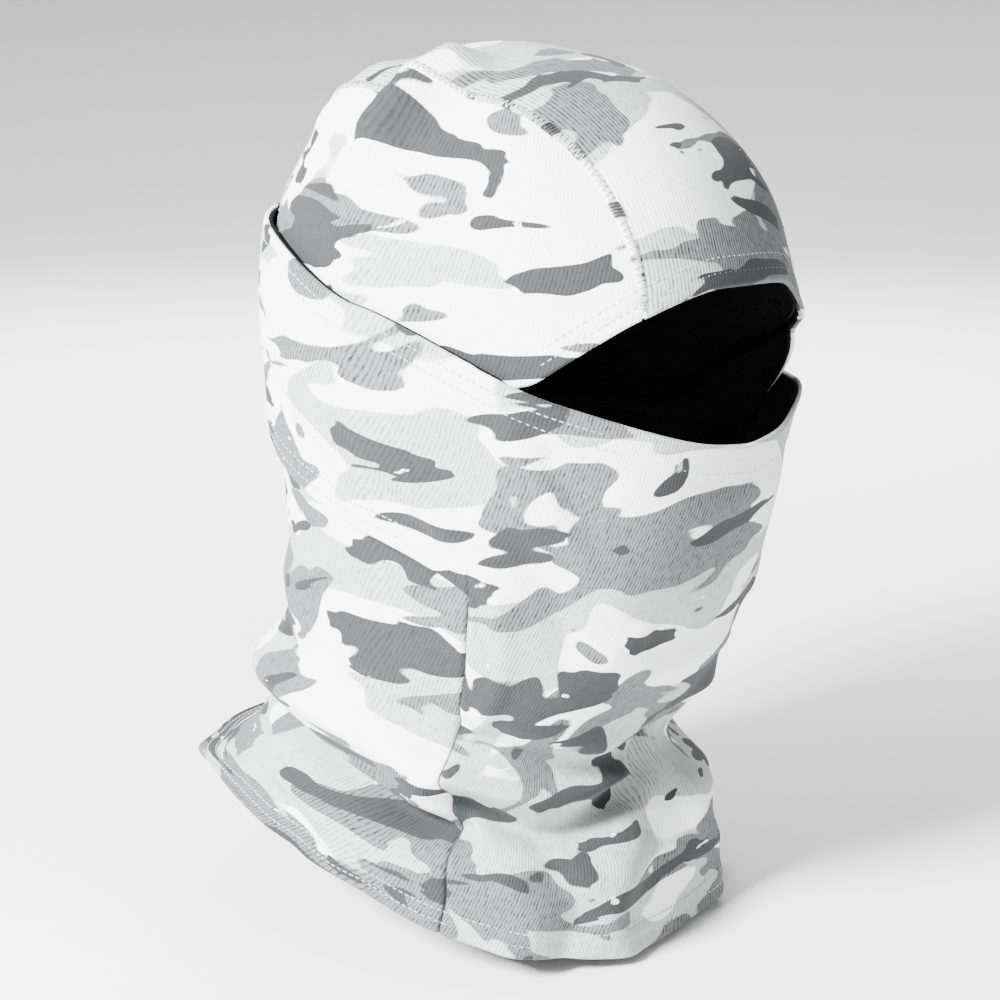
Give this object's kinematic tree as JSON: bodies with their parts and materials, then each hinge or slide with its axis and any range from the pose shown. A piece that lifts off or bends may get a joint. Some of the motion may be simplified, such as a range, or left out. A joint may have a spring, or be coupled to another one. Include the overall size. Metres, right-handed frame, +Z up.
{
  "type": "camouflage balaclava face mask",
  "caption": "Winter camouflage balaclava covering head, face and neck, with one eye opening and a wrap-around face panel that pulls down under the chin.",
  "frame": {"origin": "on the base plane, in the middle of the neck opening below the wearer's head", "axes": "+Z up through the crown, -Y the way the wearer faces, +X towards the wearer's left"},
  "size_m": [0.177, 0.2365, 0.3283],
  "materials": {
    "camo_knit": null,
    "fleece_lining": "matt black brushed fleece",
    "sewing_thread": "pale spun polyester thread"
  },
  "bodies": {
    "hood": {"crown_centre_panel": "camo_knit", "crown_centre_panel_lining": "fleece_lining", "crown_side_panel_right": "camo_knit", "crown_side_panel_right_lining": "fleece_lining", "crown_side_panel_left": "camo_knit", "crown_side_panel_left_lining": "fleece_lining", "crown_seam_right": "camo_knit", "crown_seam_left": "camo_knit", "neck_front_panel": "camo_knit", "neck_front_panel_lining": "fleece_lining", "neck_back_panel": "camo_knit", "neck_back_panel_lining": "fleece_lining", "side_seam_right": "camo_knit", "side_seam_left": "camo_knit", "brow_hem": "camo_knit", "bottom_hem": "camo_knit", "brow_stitches_outer_row": "sewing_thread", "brow_stitches_inner_row": "sewing_thread", "bottom_hem_stitches_outer_row": "sewing_thread", "bottom_hem_stitches_inner_row": "sewing_thread"},
    "face_flap": {"face_panel": "camo_knit", "face_panel_lining": "fleece_lining", "face_panel_top_hem": "camo_knit", "wing_low_hem_right": "camo_knit", "wing_low_hem_left": "camo_knit", "face_top_stitches_outer_row": "sewing_thread", "face_top_stitches_inner_row": "sewing_thread", "wing_back_seam": "camo_knit"}
  },
  "joints": [
    {"name": "face_flap_pull_down", "type": "hinge", "parent": "hood", "child": "face_flap", "pos_m": [0, 0.09, 0.225], "axis": [1, 0, 0], "range_deg": [0, 22], "deforming": ["face_panel", "face_panel_lining", "face_panel_top_hem", "wing_low_hem_right", "wing_low_hem_left", "face_top_stitches_outer_row", "face_top_stitches_inner_row", "neck_front_panel", "neck_front_panel_lining", "wing_back_seam"]}
  ]
}
